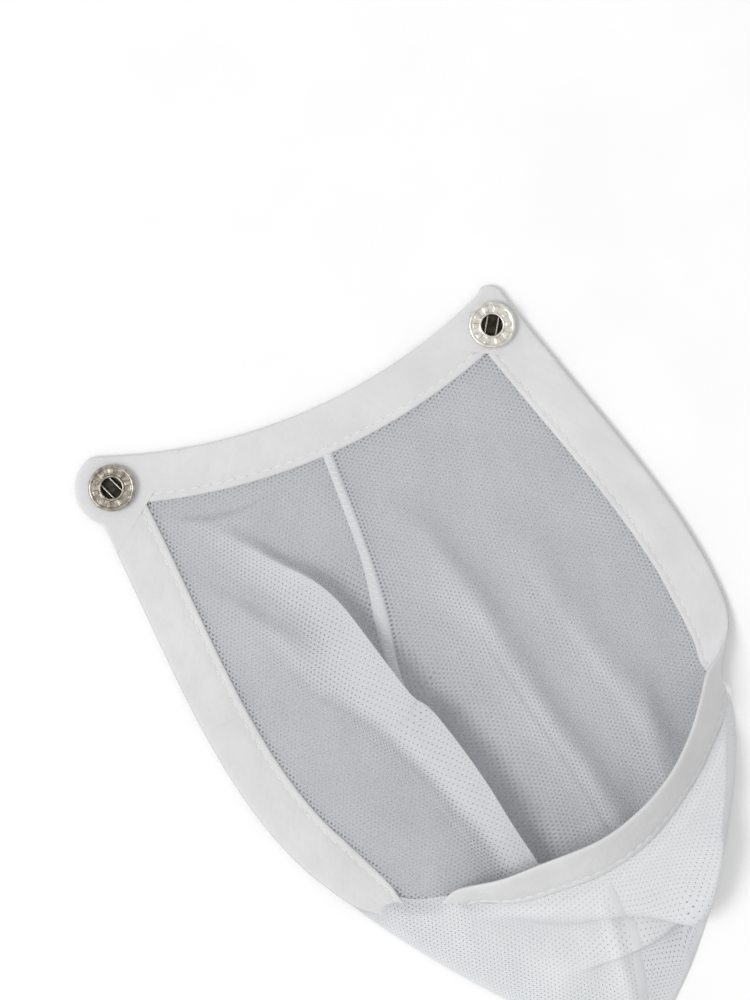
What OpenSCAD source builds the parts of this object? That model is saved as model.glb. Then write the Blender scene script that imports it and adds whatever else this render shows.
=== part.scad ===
// Mesh pouch with a press stud in each top corner, laid open on its back.
//
// Two halves of warp-knitted mesh meet in a back seam and a front seam. A folded
// twill tape binds the top edge, and another binds both sides and the lip. Each top
// corner carries the socket of a press stud, clinched through the tape onto a ring
// of prongs.
//
// Modelled in millimetres with the pouch lying on z = 0: +X runs from the left
// socket to the right one, +Y from the toe to the top edge, and the origin is under
// the middle of the whole outline.

/* [Pouch] */
// Distance between the centres of the two sockets
snap_spacing = 110; // [96:1:130]
// From the line through the sockets down to the tip of the toe
pouch_length = 191; // [178:1:225]
// From the line through the sockets down to the lowest point of the lip
mouth_depth = 138; // [128:1:148]
// Height of the lip's folded edge above the table
lip_height = 24; // [20:1:32]
// How far the lip tape leans out over the front, seen from above
lip_lean = 6.5; // [5:0.5:10]
// Radius of the hollow curve of the top edge
top_edge_r = 148; // [130:1:220]
// How far the middle of the top edge lies below the line through the sockets
top_edge_drop = 1.5; // [0:0.5:6]
// How far the right side swings out past the right socket
right_flare = 20; // [12:1:26]
// How far the left side swings in past the left socket on its way to the lip
left_draw = 14; // [8:1:20]

/* [Tape and mesh] */
// Width of the folded binding tape
tape_w = 13; // [11:0.5:15]
// Thickness of the folded tape with the mesh edge inside it
tape_t = 1.2; // [1:0.1:1.6]
// Thickness of the mesh, with the loft of its small creases
mesh_t = 1.2; // [1:0.1:1.6]
// Width of the seam allowance along the middle of the back and the front
seam_w = 3.2; // [2.4:0.2:5]
// Thickness of the seam allowance
seam_t = 1.5; // [1.4:0.1:2.4]

/* [Stitching] */
// Length of one stitch
stitch_l = 2.4; // [1.8:0.1:3]
// Distance from one stitch to the next
stitch_pitch = 3.2; // [3.2:0.1:5]
// Thickness of the sewing thread
thread_d = 0.4; // [0.3:0.05:0.6]
// Distance from the tape's inner edge to its row of stitches
stitch_inset = 2; // [1.5:0.1:3]

/* [Press studs] */
// Outside diameter of a socket
socket_d = 12.5; // [11.5:0.1:13.5]
// Diameter of the hole that takes the stud
stud_hole_d = 5.6; // [5:0.1:5.8]
// Height of a socket above the tape
socket_h = 2.4; // [2.3:0.1:3]
// Diameter of the two spring wires inside a socket
wire_d = 0.6; // [0.4:0.05:0.65]
// Distance of each spring wire from the socket's axis
wire_offset = 1.5; // [1.3:0.1:1.7]
// How far each spring wire moves outwards as the stud passes
wire_travel = 0.8; // [0.5:0.1:0.9]
// Number of prongs on the ring behind the tape
prong_count = 10; // [6:1:12]
// Diameter of one prong
prong_d = 0.7; // [0.5:0.05:0.8]
// Thickness of the ring that the prongs stand on
ring_t = 0.9; // [0.7:0.1:1.2]

/* [Hidden] */
$fn = 48;

// Colours
mesh_colour = "gainsboro";
tape_colour = "whitesmoke";
thread_colour = "white";
nickel = "silver";
spring_steel = "dimgray";

// Clearances: round a prong in its hole, between the lip tape and the front panels,
// and across each corner's fold
prong_gap = 0.1;
lip_gap = 0.6;
fold_gap = 0.6;

// Levels: the tape lies on the prong rings, the sockets lie on the tape
tape_z = ring_t;
tape_top = tape_z + tape_t;

// Height of the line that the lip turns on, clear of the side tapes under its ends
lip_hinge_z = tape_top + 0.8;

// Steps along a side or the toe, along the lip, and from the lip down to the toe
side_steps = 26;
lip_steps = 28;
drape_steps = 8;

// ---- Curves ----

function bezier(p, t) = pow(1 - t, 3) * p[0] + 3 * t * pow(1 - t, 2) * p[1]
    + 3 * t * t * (1 - t) * p[2] + pow(t, 3) * p[3];
function bezier_points(p, n) = [for (i = [0:n]) bezier(p, i / n)];
function reversed(list) = [for (i = [len(list) - 1:-1:0]) list[i]];
function unit(v) = v / norm(v);
function left_of(v) = [-v[1], v[0]];
function direction_at(points, i) =
    unit(points[min(i + 1, len(points) - 1)] - points[max(i - 1, 0)]);
// A polyline moved sideways by d, to the left of the way it runs
function moved_left(points, d) =
    [for (i = [0:len(points) - 1]) points[i] + d * left_of(direction_at(points, i))];
function arc_points(centre, r, from, to, n) =
    [for (i = [0:n]) let (a = from + (to - from) * i / n)
        centre + r * [cos(a), sin(a)]];
function length_of(points, i = 0) = i >= len(points) - 1 ? 0
    : norm(points[i + 1] - points[i]) + length_of(points, i + 1);
// Where a walk of length s along a polyline ends, as an index with a fraction
function walk(points, s, i = 0) =
    let (step = norm(points[i + 1] - points[i]))
    i >= len(points) - 2 || s <= step ? i + min(1, s / step)
    : walk(points, s - step, i + 1);
function value_at(list, x) =
    let (i = min(floor(x), len(list) - 2)) list[i] + (x - i) * (list[i + 1] - list[i]);
function xy(p) = [p[0], p[1]];
function raised(p, z) = [p[0], p[1], z];

// ---- Outline of the pouch as it lies, seen from above ----

left_snap = [-snap_spacing / 2, 0];
right_snap = [snap_spacing / 2, 0];
// The top edge's height at x, or the height of a line that lies inset inside it
function top_y(x, inset = 0) = top_edge_r - top_edge_drop
    - sqrt(pow(top_edge_r + inset, 2) - x * x);

// The left corner is round about its socket, and the right one is more pointed
left_corner_r = 10;
right_corner_r = 4;
right_corner = right_snap + [2, 6.5];

// The folds lie above the lip's lowest point, and the toe lies right of the middle
left_fold = [left_snap[0] + left_draw, -mouth_depth + 12];
right_fold = [right_snap[0] + right_flare, -mouth_depth + 24];
toe = [18, -pouch_length];

left_corner_arc = arc_points(left_snap, left_corner_r, 232, 98, 14);
right_corner_arc = arc_points(right_corner, right_corner_r, 104, 14, 10);
left_side = [
    left_corner_arc[0],
    left_snap + [-3.5, -0.36 * mouth_depth],
    left_snap + [-7.5, -0.69 * mouth_depth],
    left_fold
];
right_side = [
    right_corner_arc[10],
    right_snap + [15, -0.23 * mouth_depth],
    right_fold + [22, 22],
    right_fold
];
toe_left = [left_fold, left_fold + [8, -15], toe + [-20, 5], toe];
toe_right = [toe, toe + [18, 5], right_fold + [-1, -22], right_fold];

left_side_points = bezier_points(left_side, side_steps);
right_side_points = bezier_points(right_side, side_steps);
top_edge_steps = 24;
top_edge_points = [
    for (i = [1:top_edge_steps - 1])
        let (x = left_snap[0] + 1 + (snap_spacing - 2) * i / top_edge_steps)
            [x, top_y(x)]
];

// The tape's inner edge, from each inner corner to the end of its side. The outer
// edges just below the corners lie this far outside the sockets' centres.
left_margin = 5.8;
right_margin = 8.7;
left_inner_x = left_snap[0] - left_margin + tape_w;
left_inner_corner = [left_inner_x, top_y(left_inner_x, tape_w)];
right_inner_x = right_snap[0] + right_margin - tape_w;
right_inner_corner = [right_inner_x, top_y(right_inner_x, tape_w)];
left_inner_line = moved_left(left_side_points, tape_w);
right_inner_line = moved_left(right_side_points, -tape_w);
below_corner = 4;
left_inner_points = [
    for (p = left_inner_line) if (p[1] < left_inner_corner[1] - below_corner) p
];
right_inner_points = [
    for (p = right_inner_line) if (p[1] < right_inner_corner[1] - below_corner) p
];
top_inner_points = [
    for (i = [0:top_edge_steps])
        let (x = left_inner_x + (right_inner_x - left_inner_x) * i / top_edge_steps)
            [x, top_y(x, tape_w)]
];

// Both tapes together, as one band from the left fold round to the right fold
tape_outline = concat(
    reversed(left_side_points), left_corner_arc, top_edge_points,
    right_corner_arc, right_side_points,
    reversed(right_inner_points), reversed(top_inner_points), left_inner_points
);

toe_left_points = bezier_points(toe_left, side_steps);
toe_right_points = bezier_points(toe_right, side_steps);

// The back inside the tape, and from the folds down to the toe
back_outline = concat(
    top_inner_points, right_inner_points, reversed(toe_right_points),
    reversed(toe_left_points), reversed(left_inner_points)
);

// The whole outline, whose middle is the origin of the part
outline = concat(
    left_side_points, left_corner_arc, top_edge_points, right_corner_arc,
    right_side_points, toe_left_points, toe_right_points
);
outline_x = [for (p = outline) p[0]];
outline_y = [for (p = outline) p[1]];
middle = [(min(outline_x) + max(outline_x)) / 2, (min(outline_y) + max(outline_y)) / 2];
module place() translate([-middle[0], -middle[1], 0]) children();

// ---- Corner folds ----

// The way from each fold to its socket. A tab turns about its fold line, which lies
// in the tape's upper face, so its cut edge swings clear of the other one.
left_fold_way = 126;
right_fold_way = 61;
far = 200;

module tape_band() {
    translate([0, 0, tape_z]) linear_extrude(tape_t) polygon(tape_outline);
}

// Everything on the socket's side of a corner's fold, from d beyond the fold
module beyond_fold(corner, way, d) {
    translate([corner[0], corner[1], 0]) rotate([0, 0, way])
        translate([d, -far, -far]) cube([far, 2 * far, 2 * far]);
}

// The band's part on the body's side of both folds
module tape_below_folds() {
    difference() {
        tape_band();
        beyond_fold(left_inner_corner, left_fold_way, -fold_gap / 2);
        beyond_fold(right_inner_corner, right_fold_way, -fold_gap / 2);
    }
}

// The band's part on the socket's side of one fold, with a hole for each prong
module corner_tab(corner, way, snap) {
    difference() {
        intersection() {
            tape_band();
            beyond_fold(corner, way, fold_gap / 2);
        }
        prongs(snap, prong_d / 2 + prong_gap, -1, tape_top + 1);
    }
}

// ---- Solids swept from rings ----

// A solid between closed rings of points. Each ring runs along one face of a sheet
// and back along the other, so its two ends are closed with a strip of quads.
module skin(rings) {
    k = len(rings[0]);
    last = len(rings) - 1;
    points = [for (ring = rings) each ring];
    sides = [
        for (i = [0:last - 1], j = [0:k - 1])
            let (a = i * k + j, b = i * k + (j + 1) % k)
                each [[a, b + k, b], [a, a + k, b + k]]
    ];
    caps = [
        for (j = [0:k / 2 - 2])
            let (a = j, b = j + 1, c = k - 2 - j, d = k - 1 - j, e = last * k)
                each [[a, c, d], [a, b, c], [e + a, e + c, e + b], [e + a, e + d, e + c]]
    ];
    polyhedron(points, concat(sides, caps));
}

// ---- Lip ----

lip_curve = [left_fold, left_fold + [31, -15], right_fold + [-23, -35], right_fold];
// A share that is 0 at both ends of the lip and 1 in its middle
function lip_swell(u) = sin(180 * u);
function lip_lean_at(u) = lip_lean * pow(lip_swell(u), 0.7);
function lip_out(u) =
    let (d = unit(bezier(lip_curve, min(u + 0.01, 1)) - bezier(lip_curve, max(u - 0.01, 0))))
        -left_of(d);
// The folded edge, the edge that holds the mesh, and the way the tape faces
function lip_edge(u) = raised(bezier(lip_curve, u),
    lip_hinge_z + tape_w + (lip_height - lip_hinge_z - tape_w) * lip_swell(u));
function lip_down(u) = let (lean = lip_lean_at(u), out = lip_out(u))
    [lean * out[0], lean * out[1], -sqrt(tape_w * tape_w - lean * lean)];
function lip_facing(u) = let (down = lip_down(u), out = lip_out(u))
    [-down[2] * out[0], -down[2] * out[1], lip_lean_at(u)] / tape_w;
function lip_ring(u) =
    let (edge = lip_edge(u), foot = edge + lip_down(u), half = lip_facing(u) * tape_t / 2)
        [edge + half, foot + half, foot - half, edge - half];

module lip_tape() {
    color(tape_colour) place() skin([for (i = [0:lip_steps]) lip_ring(i / lip_steps)]);
}

// ---- Front, from the lip down to the toe ----

function front_rim(u) = u < 0.5 ? bezier(toe_left, 2 * u) : bezier(toe_right, 2 * u - 1);
function front_top(u) = let (out = lip_out(u))
    xy(lip_edge(u)) + (lip_lean_at(u) + tape_t / 2 + lip_gap) * out;
// The rim of the sheet clears the back seam that it lies over
rim_gap = 0.15;
front_rim_z = max(seam_t, mesh_t) + rim_gap;
// How roundly the sheet falls to its rim, where 1 is a straight slope
front_bow = 1.6;
// The sheet's upper face at u along the lip and v down the drape, both from 0 to 1
function drape_point(u, v) =
    let (
        p = (1 - v) * front_top(u) + v * front_rim(u),
        top_z = lip_edge(u)[2] + lip_down(u)[2],
        rim_z = front_rim_z + mesh_t
    )
        raised(p, rim_z + (top_z - rim_z) * (1 - pow(v, front_bow)));
// The same, eased sideways so that u = 0.5 falls on the seam's left or right edge
function front_point(u, v, side) =
    let (
        across = unit(xy(drape_point(0.52, v)) - xy(drape_point(0.48, v))),
        share = 1 - abs(u - 0.5) * 2,
        shift = side * share * seam_w / 2 * across
    )
        drape_point(u, v) + raised(shift, 0);
// One column of the sheet: down its upper face, then back up its lower one
function front_ring(u, side, proud = 0) =
    let (top = [for (j = [0:drape_steps]) front_point(u, j / drape_steps, side)])
        concat([for (p = top) p + [0, 0, proud]], [for (p = reversed(top)) p - [0, 0, mesh_t]]);

// The panels start and end where the sheet has room between the lip and the rim
front_from = 0.04;
front_steps = 14;

module front_panel_left() {
    color(mesh_colour) place() skin([
        for (i = [0:front_steps])
            front_ring(front_from + (0.5 - front_from) * i / front_steps, -1)
    ]);
}

module front_panel_right() {
    color(mesh_colour) place() skin([
        for (i = [0:front_steps])
            front_ring(0.5 + (0.5 - front_from) * i / front_steps, 1)
    ]);
}

module front_seam() {
    color(tape_colour) place()
        skin([for (side = [-1, 1]) front_ring(0.5, side, seam_t - mesh_t)]);
}

// ---- Back ----

back_seam_curve = [
    [1, -1], [-3, -0.42 * pouch_length], [-3, -0.75 * pouch_length], toe - [0, 1]
];
back_seam_line = bezier_points(back_seam_curve, side_steps);
back_seam_left = moved_left(back_seam_line, -seam_w / 2);
back_seam_right = moved_left(back_seam_line, seam_w / 2);

module back_area(t) {
    linear_extrude(t) polygon(back_outline);
}

module back_panel_left() {
    color(mesh_colour) place() intersection() {
        back_area(mesh_t);
        linear_extrude(mesh_t)
            polygon(concat([[-far, 20]], back_seam_left, [[0, -2 * far], [-far, -far]]));
    }
}

module back_panel_right() {
    color(mesh_colour) place() intersection() {
        back_area(mesh_t);
        linear_extrude(mesh_t)
            polygon(concat([[far, 20]], back_seam_right, [[40, -2 * far], [far, -far]]));
    }
}

module back_seam() {
    color(tape_colour) place() intersection() {
        back_area(seam_t);
        linear_extrude(seam_t) polygon(concat(back_seam_left, reversed(back_seam_right)));
    }
}

// ---- Tape ----

// Everything on one side of the line from a corner of the mouth to its socket
module beside(corner, way, side) {
    translate([corner[0], corner[1], 0]) rotate([0, 0, way])
        translate([-far, side > 0 ? 0 : -far, -far]) cube([2 * far, far, 2 * far]);
}

module top_tape() {
    color(tape_colour) place() difference() {
        tape_below_folds();
        beside(left_inner_corner, left_fold_way, 1);
        beside(right_inner_corner, right_fold_way, -1);
    }
}

module left_side_tape() {
    color(tape_colour) place() intersection() {
        tape_below_folds();
        beside(left_inner_corner, left_fold_way, 1);
    }
}

module right_side_tape() {
    color(tape_colour) place() intersection() {
        tape_below_folds();
        beside(right_inner_corner, right_fold_way, -1);
    }
}

module left_corner_tab() {
    color(tape_colour) place() corner_tab(left_inner_corner, left_fold_way, left_snap);
}

module right_corner_tab() {
    color(tape_colour) place() corner_tab(right_inner_corner, right_fold_way, right_snap);
}

// ---- Press studs ----

stud_hole_r = stud_hole_d / 2;
socket_r = socket_d / 2;
// The chamber that the wires lie in, under the collar round the stud's hole
chamber_r = 4.3;
chamber_floor = 0.3;
chamber_h = wire_d + 0.6;
wire_half_l = 3;
// The groove under the socket that the prongs' tips are clinched into
prong_circle_r = 5.1;
prong_reach = 0.35;
groove_depth = 0.5;
prong_ring_outer_r = 5.9;
prong_ring_inner_r = 2.6;
// The recesses pressed into the socket's face over the prongs
pocket_depth = 0.25;
pocket_l = 1.5;
pocket_w = 1.7;
pocket_r = 4.25;
face_h = socket_h - 0.35;

// The wires' directions, which depend on how each socket was turned when it was set
left_wire_way = 112;
right_wire_way = 57;

// One cylinder for each prong, from z = low to z = high
module prongs(centre, r, low, high) {
    for (i = [0:prong_count - 1])
        translate([centre[0], centre[1], 0]) rotate([0, 0, 360 * i / prong_count])
            translate([prong_circle_r, 0, low]) cylinder(h = high - low, r = r);
}

module socket(centre, way) {
    rim_r = 0.5;
    translate([centre[0], centre[1], tape_top]) difference() {
        rotate_extrude() polygon(concat(
            [[0, 0], [socket_r - rim_r, 0]],
            [for (a = [-60:30:60]) [socket_r - rim_r + rim_r * cos(a),
                face_h / 2 + (face_h / 2) * sin(a) / sin(60)]],
            [[socket_r - 2 * rim_r, face_h], [stud_hole_r + 0.9, face_h],
                [stud_hole_r + 0.6, socket_h], [0, socket_h]]
        ));
        translate([0, 0, chamber_floor]) cylinder(h = chamber_h, r = chamber_r);
        translate([0, 0, chamber_floor]) cylinder(h = socket_h, r = stud_hole_r);
        rotate_extrude() translate([prong_circle_r - prong_d / 2 - prong_gap, -1])
            square([prong_d + 2 * prong_gap, 1 + groove_depth]);
        for (i = [0:prong_count - 1]) rotate([0, 0, way + 360 * (i + 0.5) / prong_count])
            translate([pocket_r, -pocket_w / 2, face_h - pocket_depth])
                cube([pocket_l, pocket_w, 1]);
    }
}

// One of a socket's two wires: side is 1 or -1
module spring_wire(centre, way, side) {
    translate([centre[0], centre[1], tape_top + chamber_floor + chamber_h / 2])
        rotate([0, 0, way]) translate([-wire_half_l, side * wire_offset, 0])
            rotate([0, 90, 0]) cylinder(h = 2 * wire_half_l, d = wire_d);
}

module prong_ring(centre) {
    translate([centre[0], centre[1], 0]) difference() {
        cylinder(h = ring_t, r = prong_ring_outer_r);
        translate([0, 0, -1]) cylinder(h = ring_t + 2, r = prong_ring_inner_r);
    }
    prongs(centre, prong_d / 2, ring_t / 2, tape_top + prong_reach);
}

module left_socket() {
    color(nickel) place() socket(left_snap, left_wire_way);
}

module right_socket() {
    color(nickel) place() socket(right_snap, right_wire_way);
}

module left_spring_wire_1() {
    color(spring_steel) place() spring_wire(left_snap, left_wire_way, 1);
}

module left_spring_wire_2() {
    color(spring_steel) place() spring_wire(left_snap, left_wire_way, -1);
}

module right_spring_wire_1() {
    color(spring_steel) place() spring_wire(right_snap, right_wire_way, 1);
}

module right_spring_wire_2() {
    color(spring_steel) place() spring_wire(right_snap, right_wire_way, -1);
}

module left_prong_ring() {
    color(nickel) place() prong_ring(left_snap);
}

module right_prong_ring() {
    color(nickel) place() prong_ring(right_snap);
}

// ---- Stitching ----

// One stitch: half of a round thread lying along X, with its flat face down
module stitch() {
    rotate([90, 0, 90]) translate([0, 0, -stitch_l / 2]) linear_extrude(stitch_l)
        polygon([for (i = [0:6]) thread_d / 2 * [cos(30 * i), sin(30 * i)]]);
}

// Stitches at one pitch along a flat line, keeping clear of both of its ends
module stitch_row(line, z, ends) {
    room = length_of(line) - 2 * ends;
    count = floor(room / stitch_pitch);
    for (i = [0:count]) {
        x = walk(line, ends + room * i / count);
        p = value_at(line, x);
        d = direction_at(line, round(x));
        translate([p[0], p[1], z]) rotate([0, 0, atan2(d[1], d[0])]) stitch();
    }
}

corner_clear = 4;
fold_clear = 6;

module top_stitching() {
    line = [
        for (i = [0:top_edge_steps])
            let (x = left_inner_x + (right_inner_x - left_inner_x) * i / top_edge_steps)
                [x, top_y(x, tape_w - stitch_inset)]
    ];
    color(thread_colour) place() stitch_row(line, tape_top, corner_clear);
}

module left_side_stitching() {
    whole = moved_left(left_side_points, tape_w - stitch_inset);
    line = [for (p = whole) if (p[1] < left_inner_corner[1]) p];
    color(thread_colour) place() stitch_row(line, tape_top, fold_clear);
}

module right_side_stitching() {
    whole = moved_left(right_side_points, stitch_inset - tape_w);
    line = [for (p = whole) if (p[1] < right_inner_corner[1]) p];
    color(thread_colour) place() stitch_row(line, tape_top, fold_clear);
}

// The lip's stitches lie on its outer face, so each is turned to lie along it
module lip_stitching() {
    lift = 0.12;
    share = 1 - stitch_inset / tape_w;
    line = [
        for (i = [0:lip_steps]) let (u = i / lip_steps)
            lip_edge(u) + share * lip_down(u) + tape_t / 2 * lip_facing(u)
    ];
    room = length_of(line) - 2 * corner_clear;
    count = floor(room / stitch_pitch);
    color(thread_colour) place() for (i = [0:count]) {
        x = walk(line, corner_clear + room * i / count);
        along = unit(value_at(line, x + 0.2) - value_at(line, x - 0.2));
        up = unit(cross(lip_down(x / lip_steps), along));
        side = cross(up, along);
        p = value_at(line, x) + lift * up;
        multmatrix([
            [along[0], side[0], up[0], p[0]],
            [along[1], side[1], up[1], p[1]],
            [along[2], side[2], up[2], p[2]],
            [0, 0, 0, 1]
        ]) stitch();
    }
}

// Overlock stitches slant across the seam allowance
module back_seam_stitching() {
    slant = 55;
    from_top = tape_w + 6;
    room = length_of(back_seam_line) - from_top - 12;
    count = floor(room / stitch_pitch);
    color(thread_colour) place() for (i = [0:count]) {
        x = walk(back_seam_line, from_top + room * i / count);
        p = value_at(back_seam_line, x);
        d = direction_at(back_seam_line, round(x));
        translate([p[0], p[1], seam_t]) rotate([0, 0, atan2(d[1], d[0]) + slant]) stitch();
    }
}

back_panel_left();
back_panel_right();
back_seam();
front_panel_left();
front_panel_right();
front_seam();
top_tape();
left_side_tape();
right_side_tape();
lip_tape();
left_corner_tab();
right_corner_tab();
left_socket();
right_socket();
left_spring_wire_1();
left_spring_wire_2();
right_spring_wire_1();
right_spring_wire_2();
left_prong_ring();
right_prong_ring();
top_stitching();
left_side_stitching();
right_side_stitching();
lip_stitching();
back_seam_stitching();
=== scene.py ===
import math
import bpy
import bmesh
import numpy as np
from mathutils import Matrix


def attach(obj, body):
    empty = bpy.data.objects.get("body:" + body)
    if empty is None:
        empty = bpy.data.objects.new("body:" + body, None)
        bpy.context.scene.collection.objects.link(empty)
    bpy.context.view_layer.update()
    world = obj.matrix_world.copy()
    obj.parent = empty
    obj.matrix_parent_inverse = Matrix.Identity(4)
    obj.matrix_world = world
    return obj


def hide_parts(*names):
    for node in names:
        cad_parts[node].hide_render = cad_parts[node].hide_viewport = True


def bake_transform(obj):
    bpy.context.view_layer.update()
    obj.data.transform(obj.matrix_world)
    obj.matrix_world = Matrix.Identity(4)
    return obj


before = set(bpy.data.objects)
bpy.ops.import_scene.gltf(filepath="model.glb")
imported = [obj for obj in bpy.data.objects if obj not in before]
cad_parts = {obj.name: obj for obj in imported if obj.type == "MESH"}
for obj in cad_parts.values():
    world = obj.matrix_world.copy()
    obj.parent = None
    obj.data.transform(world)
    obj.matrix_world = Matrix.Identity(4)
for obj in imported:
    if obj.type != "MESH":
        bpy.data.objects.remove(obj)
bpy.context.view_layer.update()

# ---------------------------------------------------------------- the view
# A camera straight above, turned 23 degrees as the pouch lay, over a pale matt
# table top. One large soft lamp and an even room light it from the upper left.
CAMERA_HEIGHT, SEEN_HEIGHT, SENSOR_HEIGHT = 0.80, 0.2671, 24  # m, m of table top, mm


def new_object(name, data):
    """An object in the scene that shows the data."""
    thing = bpy.data.objects.new(name, data)
    bpy.context.scene.collection.objects.link(thing)
    return thing


camera = new_object("camera", bpy.data.cameras.new("camera"))
camera.location = (-0.0011, 0.05975, CAMERA_HEIGHT)
camera.rotation_euler = (0, 0, math.radians(-23.2))
camera.data.sensor_fit = "VERTICAL"
camera.data.sensor_height = SENSOR_HEIGHT
camera.data.lens = SENSOR_HEIGHT * CAMERA_HEIGHT / SEEN_HEIGHT
camera.data.clip_start = 0.01
bpy.context.scene.camera = camera
bpy.context.scene.view_settings.view_transform = "Standard"


def linear(colour):
    """A linear colour from an sRGB hex value."""
    parts = [int(colour[i:i + 2], 16) / 255 for i in (0, 2, 4)]
    return [c / 12.92 if c <= 0.04045 else ((c + 0.055) / 1.055) ** 2.4 for c in parts] + [1.0]


def add(tree, kind, inputs=(), **settings):
    """Adds a node with its settings, and its inputs as values or links."""
    node = tree.nodes.new(kind)
    for name, value in settings.items():
        setattr(node, name, value)
    for name, value in dict(inputs).items():
        if isinstance(value, bpy.types.NodeSocket):
            tree.links.new(value, node.inputs[name])
        else:
            node.inputs[name].default_value = value
    return node


def new_material(name):
    """An empty material and its node tree."""
    material = bpy.data.materials.new(name)
    material.use_nodes = True
    material.node_tree.nodes.clear()
    return material, material.node_tree


def ramp(tree, factor, stops):
    """A colour ramp through (place, hex colour) stops."""
    node = add(tree, "ShaderNodeValToRGB", {"Fac": factor})
    while len(node.color_ramp.elements) < len(stops):
        node.color_ramp.elements.new(0.5)
    for element, (place, colour) in zip(node.color_ramp.elements, stops):
        element.position, element.color = place, linear(colour)
    return node.outputs["Color"]


# Matt laminate table top: nearly white, with a very faint mottle.
table_top, tree = new_material("matt laminate")
spot = add(tree, "ShaderNodeTexCoord").outputs["Object"]
mottle = add(tree, "ShaderNodeTexNoise", {
    "Vector": spot, "Scale": 30.0, "Detail": 3.0}).outputs["Fac"]
surface = add(tree, "ShaderNodeBsdfPrincipled", {
    "Base Color": ramp(tree, mottle, [(0.3, "F8F8F8"), (0.7, "FBFBFB")]), "Roughness": 0.7})
add(tree, "ShaderNodeOutputMaterial", {"Surface": surface.outputs[0]})

table_reach, table_z = 2, -0.0001  # m; just under the pouch
floor_mesh = bpy.data.meshes.new("table")
floor_mesh.from_pydata([(x * table_reach, y * table_reach, table_z)
                        for x, y in ((-1, -1), (1, -1), (1, 1), (-1, 1))], [], [(0, 1, 2, 3)])
floor_mesh.materials.append(table_top)
floor = new_object("table", floor_mesh)

world = bpy.data.worlds.new("room")
world.use_nodes = True
world.node_tree.nodes["Background"].inputs["Color"].default_value = (1.0, 1.0, 1.0, 1)
world.node_tree.nodes["Background"].inputs["Strength"].default_value = 0.71
bpy.context.scene.world = world
lamp = new_object("soft lamp", bpy.data.lights.new("soft lamp", "AREA"))
lamp.data.shape, lamp.data.size, lamp.data.size_y = "RECTANGLE", 1.5, 1.3
lamp.data.energy = 52.0
lamp.location = (-2.0, 0.32, 2.80)
lamp.rotation_euler = (-lamp.location).to_track_quat("-Z", "Y").to_euler()

# ---------------------------------------------------------------- the knitted back
# Two halves of white warp-knitted polyester, cut to the pouch's outline and left
# slack. Each lies in soft folds, and its edge is caught inside the binding tape.
SOCKETS_MIDDLE = (-9.22262, 90.2549, 0)  # mm in the frame, half way between the sockets
TAPE_WIDTH = 13  # mm, folded in half
TAPE_MIDDLE = 1.5  # mm above the table, half way through the flat tape
TAPE_HALF = 0.6  # mm, half its thickness
TAPE_FACE = 2.1  # mm above the table, its upper face
KNIT_PITCH = 1.12  # mm from one cell of a row to the next
KNIT_MARGIN = 8.5  # mm that the knit's edge stays inside the rim, under the tape


def placed(points):
    """Millimetres from between the sockets, as drawn, to metres in the frame."""
    return (np.asarray(points, float) + SOCKETS_MIDDLE) / 1000


def smooth(x):
    """0 below 0, 1 above 1, and an even step between."""
    x = np.clip(x, 0, 1)
    return x * x * (3 - 2 * x)


def bezier(p, n):
    """n points on the curve that four control points give."""
    t = np.linspace(0, 1, n)[:, None]
    a, b, c, d = (np.asarray(q, float) for q in p)
    return a * (1 - t) ** 3 + 3 * b * t * (1 - t) ** 2 + 3 * c * t * t * (1 - t) + d * t ** 3


def evenly(line, n):
    """n points at even steps along a line."""
    line = np.asarray(line, float)
    way = np.r_[0, np.cumsum(np.linalg.norm(np.diff(line, axis=0), axis=1))]
    at = np.linspace(0, way[-1], n)
    return np.stack([np.interp(at, way, line[:, k]) for k in range(line.shape[1])], 1)


def spline(points, k):
    """A smooth line through points, with k steps from each to the next. Several lines go
    together as one, so that each point stays across from the same point of the others."""
    p = np.asarray(points, float)
    p = np.concatenate([2 * p[:1] - p[1:2], p, 2 * p[-1:] - p[-2:-1]])
    t = np.linspace(0, 1, k, endpoint=False).reshape(-1, *[1] * (p.ndim - 1))
    out = []
    for i in range(1, len(p) - 2):
        a, b, c, d = p[i - 1:i + 3]
        out.append(0.5 * (2 * b + (c - a) * t + (2 * a - 5 * b + 4 * c - d) * t * t
                          + (3 * b - a - 3 * c + d) * t ** 3))
    return np.concatenate(out + [p[-2:-1]])


def through(points, n):
    """n even points on a smooth line through a few points."""
    return evenly(spline(points, 16), n)


def beside(p, line):
    """How far each point is to the right of a line walked from its first point, the share
    of the way along, and the direction to the right."""
    chunk = 4000
    a, d = line[:-1], np.diff(line, axis=0)
    real = (d ** 2).sum(1) > 1e-9
    a, d = a[real], d[real]
    long2 = (d ** 2).sum(1)
    side, along, right = np.empty(len(p)), np.empty(len(p)), np.empty((len(p), 2))
    for k in range(0, len(p), chunk):
        part = slice(k, k + chunk)
        q = p[part, None] - a[None]
        t = np.clip((q * d).sum(2) / long2, 0, 1)
        off = q - t[..., None] * d
        far = (off ** 2).sum(2)
        i = far.argmin(1)
        j = np.arange(len(i))
        tangent = d[i] / np.sqrt(long2[i])[:, None]
        r = np.stack([tangent[:, 1], -tangent[:, 0]], 1)
        sign = np.where((off[j, i] * r).sum(1) >= 0, 1, -1)
        side[part] = sign * np.sqrt(far[j, i])
        along[part] = (i + t[j, i]) / len(d)
        right[part] = r
    return side, along, right


def arc_points(centre, radius, start, end, n):
    """n points on an arc between two angles in degrees."""
    angle = np.radians(np.linspace(start, end, n))
    return centre + radius * np.stack([np.cos(angle), np.sin(angle)], 1)


def square_to(degrees):
    """The direction a quarter turn to the left of a line that runs at an angle."""
    turn = math.radians(degrees)
    return np.array([-math.sin(turn), math.cos(turn)])


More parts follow.
